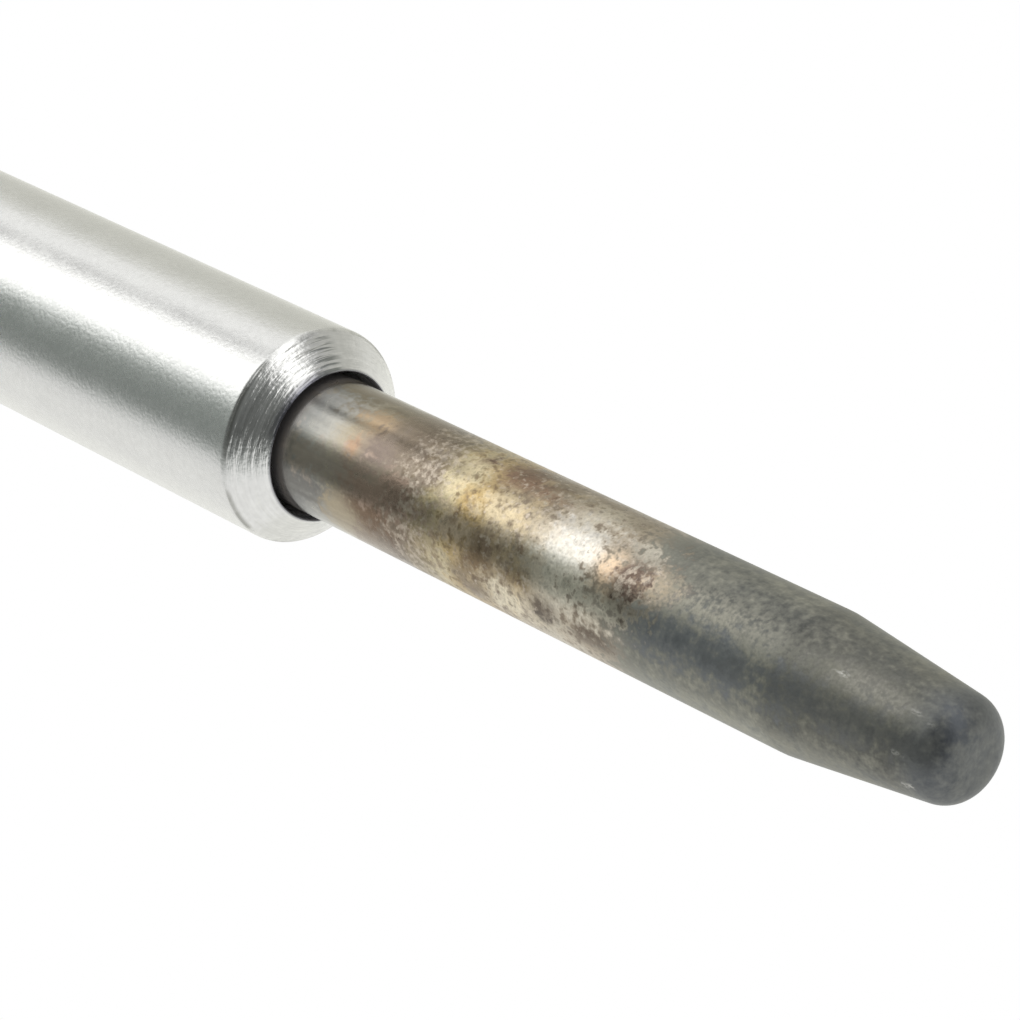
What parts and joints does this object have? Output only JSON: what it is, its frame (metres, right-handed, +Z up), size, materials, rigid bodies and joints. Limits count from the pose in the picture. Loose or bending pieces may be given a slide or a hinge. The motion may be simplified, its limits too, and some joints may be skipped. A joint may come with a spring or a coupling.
{
  "type": "glow plug",
  "caption": "Diesel glow plug lying on its side: turned steel shell with conical seat, thread and hexagon, heat-tinted glow tube with a tapered tip, and stud terminal.",
  "frame": {"origin": "on the plug's axis, at the outer edge of the conical seat, where the seat meets the shank", "axes": "+X along the axis towards the hot tip, +Z up with the plug lying on a flat of its hexagon, +Y across"},
  "size_m": [0.1068, 0.0138, 0.012],
  "materials": {
    "zinc_plated_steel": "satin zinc plating with fine turning marks",
    "heat_tinted_steel": "heat-tinted, straw to brown, dark oxide at the tip",
    "wire_steel": "drawn wire",
    "magnesia": "compacted magnesia powder",
    "black_rubber": "matt",
    "nickel_plated_steel": "nickel-plated",
    "bush_plastic": "moulded, slightly glossy"
  },
  "bodies": {
    "root": {"shell": "zinc_plated_steel", "glow_tube": "heat_tinted_steel", "heating_coil": "wire_steel", "control_coil": "wire_steel", "filling_powder": "magnesia", "tube_seal": "black_rubber", "connecting_pin": "nickel_plated_steel", "seal_ring": "black_rubber", "insulating_bush": "bush_plastic", "clamp_nut": "nickel_plated_steel", "lock_washer": "nickel_plated_steel", "terminal_nut": "nickel_plated_steel"}
  },
  "joints": []
}
